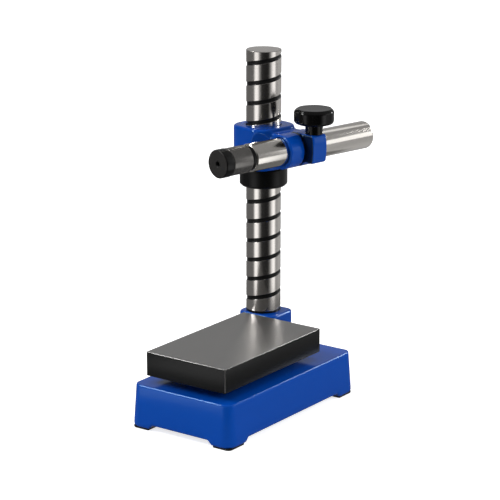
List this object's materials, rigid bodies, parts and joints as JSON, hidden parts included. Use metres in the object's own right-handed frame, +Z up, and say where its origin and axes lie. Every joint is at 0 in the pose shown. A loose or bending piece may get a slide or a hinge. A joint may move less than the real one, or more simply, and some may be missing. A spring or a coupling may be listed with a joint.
{
  "type": "comparator stand",
  "caption": "Bench stand for a dial gauge: ground measuring plate on a cast base, grooved column, height nut, and a swinging head with a clamped sliding arm.",
  "frame": {"origin": "middle of the measuring plate's ground top face", "axes": "+Z up, +Y from the plate towards the column at the rear, +X to the right when the plate is in front of the column"},
  "size_m": [0.1384, 0.2873, 0.343],
  "materials": {
    "blue_paint": "gloss enamel on a casting",
    "ground_plate": "black sides, finely ground grey top",
    "hard_chrome": "ground and hard chromed",
    "black_oxide": "black, satin",
    "dark_steel": "darkened steel, satin",
    "bright_steel": "bright turned",
    "zinc_steel": "zinc plated",
    "bearing_brass": "plain turned",
    "black_plastic": "gloss moulding",
    "foot_rubber": "matt"
  },
  "bodies": {
    "stand": {"base_casting": "blue_paint", "measuring_plate": "ground_plate", "plate_screws": "zinc_steel", "plate_washers": "zinc_steel", "rubber_feet": "foot_rubber", "column": "hard_chrome", "column_bolt": "zinc_steel", "column_washer": "zinc_steel", "column_lock_screw": "zinc_steel"},
    "lift": {"thrust_washer": "bearing_brass"},
    "nut": {"height_nut": "black_oxide", "nut_follower": "bright_steel"},
    "head": {"head_casting": "blue_paint", "arm_clamp_washer": "zinc_steel"},
    "column_pad": {"column_clamp_pad": "bearing_brass"},
    "column_knob": {"column_clamp_knob": "black_plastic", "column_clamp_insert": "bearing_brass", "column_clamp_stud": "bright_steel"},
    "arm_knob": {"arm_clamp_knob": "black_plastic", "arm_clamp_insert": "bearing_brass"},
    "arm_cotter": {"arm_clamp_stud": "bright_steel", "arm_clamp_cotter": "zinc_steel"},
    "arm": {"arm": "hard_chrome", "holder_lock_screw": "zinc_steel"},
    "holder": {"gauge_holder": "dark_steel", "holder_ring": "black_oxide"},
    "stem_pad": {"gauge_clamp_pad": "bearing_brass"},
    "cap": {"end_cap": "dark_steel", "gauge_clamp_screw": "bright_steel"}
  },
  "joints": [
    {"name": "head_lift", "type": "slide", "parent": "stand", "child": "lift", "axis": [0, 0, 1], "range_m": [-0.125, 0.07]},
    {"name": "nut_turn", "type": "hinge", "parent": "lift", "child": "nut", "pos_m": [-0.038, 0.101, 0], "axis": [0, 0, 1], "range_deg": [-2250, 1260]},
    {"name": "head_swing", "type": "hinge", "parent": "lift", "child": "head", "pos_m": [-0.038, 0.101, 0], "axis": [0, 0, 1], "continuous": true},
    {"name": "column_pad_slide", "type": "slide", "parent": "head", "child": "column_pad", "axis": [0.5446, -0.8387, 0], "range_m": [-0.002, 0]},
    {"name": "column_knob_turn", "type": "hinge", "parent": "column_pad", "child": "column_knob", "pos_m": [-0.05162, 0.12197, 0.167], "axis": [0.5446, -0.8387, 0], "range_deg": [-576, 0]},
    {"name": "cotter_slide", "type": "slide", "parent": "head", "child": "arm_cotter", "axis": [0, 0, -1], "range_m": [0, 0.001]},
    {"name": "arm_knob_turn", "type": "hinge", "parent": "head", "child": "arm_knob", "pos_m": [0.02005, 0.10476, 0.1885], "axis": [0, 0, 1], "range_deg": [0, 360]},
    {"name": "arm_slide", "type": "slide", "parent": "head", "child": "arm", "axis": [0.2079, 0.9781, 0], "range_m": [-0.07, 0.035]},
    {"name": "holder_roll", "type": "hinge", "parent": "arm", "child": "holder", "pos_m": [-0.00083, 0.0931, 0.172], "axis": [0.2079, 0.9781, 0], "range_deg": [-180, 180]},
    {"name": "stem_pad_slide", "type": "slide", "parent": "holder", "child": "stem_pad", "axis": [0.2079, 0.9781, 0], "range_m": [-0.0015, 0]},
    {"name": "cap_turn", "type": "hinge", "parent": "stem_pad", "child": "cap", "pos_m": [-0.00083, 0.0931, 0.172], "axis": [0.2079, 0.9781, 0], "range_deg": [-675, 0]}
  ],
  "couplings": [
    {"joint": "nut_turn", "follows": "head_lift", "rad_per_m": 314.16},
    {"joint": "column_knob_turn", "follows": "column_pad_slide", "rad_per_m": 5026.5},
    {"joint": "arm_knob_turn", "follows": "cotter_slide", "rad_per_m": 6283.2},
    {"joint": "cap_turn", "follows": "stem_pad_slide", "rad_per_m": 7854}
  ]
}
